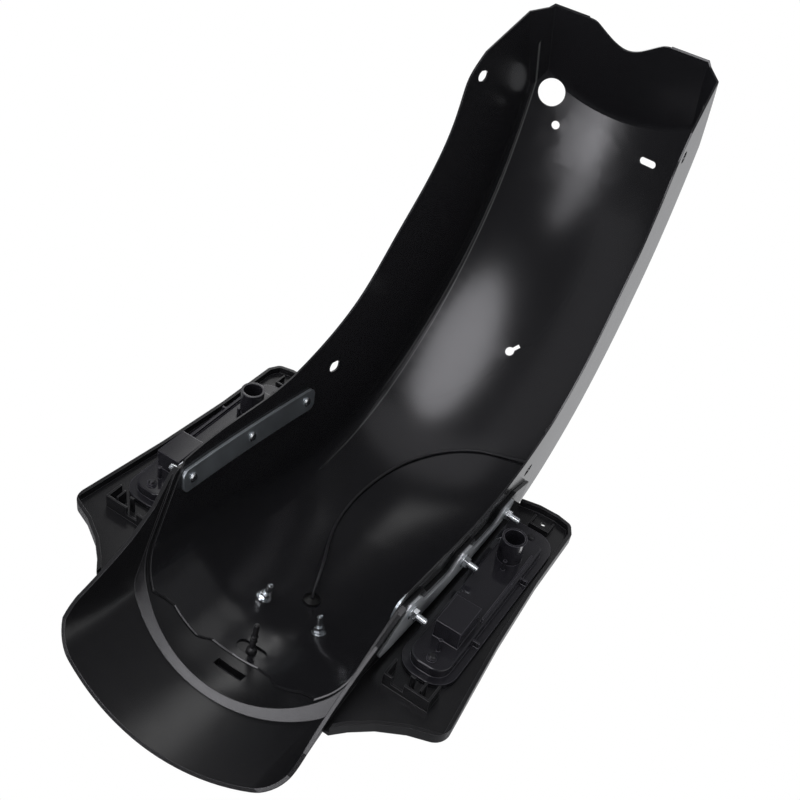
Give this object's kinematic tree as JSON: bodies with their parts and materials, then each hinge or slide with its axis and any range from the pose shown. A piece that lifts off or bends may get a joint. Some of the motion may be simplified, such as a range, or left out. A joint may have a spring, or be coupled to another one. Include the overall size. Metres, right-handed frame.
{
  "type": "motorcycle rear fender",
  "caption": "Black rear fender with a curved steel shell, a plastic rear fascia with flared lip and side wings, lamp housings and studs, seen from below.",
  "frame": {"origin": "on the axis through the two rear side slots, in the middle plane of the fender", "axes": "+X to the fender's right side when it is upright and +Y points ahead, +Y towards the front end panel, +Z towards the crown"},
  "size_m": [0.341, 0.6478, 0.3734],
  "materials": {
    "shell_paint": "satin black coat",
    "fascia_plastic": "moulded black, satin",
    "zinc_steel": "bright zinc plated",
    "smoke_plastic": "smoke tinted, glossy",
    "red_lens": "red clear plastic",
    "board_sheet": "circuit board",
    "seal_rubber": "foam rubber",
    "black_rubber": "moulded rubber",
    "black_nylon": "moulded nylon",
    "cable_jacket": "black cable jacket"
  },
  "bodies": {
    "root": {"bar_studs_left": "zinc_steel", "bar_studs_right": "zinc_steel", "cable_connector": "black_nylon", "fascia_nuts": "zinc_steel", "fascia_studs": "zinc_steel", "fascia_washers": "zinc_steel", "fender_shell": "shell_paint", "flange_nuts_left": "zinc_steel", "flange_nuts_right": "zinc_steel", "grommet": "black_rubber", "lamp_board_left": "board_sheet", "lamp_board_right": "board_sheet", "lamp_housing_left": "smoke_plastic", "lamp_housing_right": "smoke_plastic", "lamp_lens_left": "red_lens", "lamp_lens_right": "red_lens", "lamp_screws_left": "zinc_steel", "lamp_screws_right": "zinc_steel", "lamp_seal_left": "seal_rubber", "lamp_seal_right": "seal_rubber", "push_fastener": "black_nylon", "rear_fascia": "fascia_plastic", "side_bracket_left": "zinc_steel", "side_bracket_right": "zinc_steel", "stud_bar_left": "zinc_steel", "stud_bar_right": "zinc_steel", "wiring_cable": "cable_jacket"}
  },
  "joints": []
}
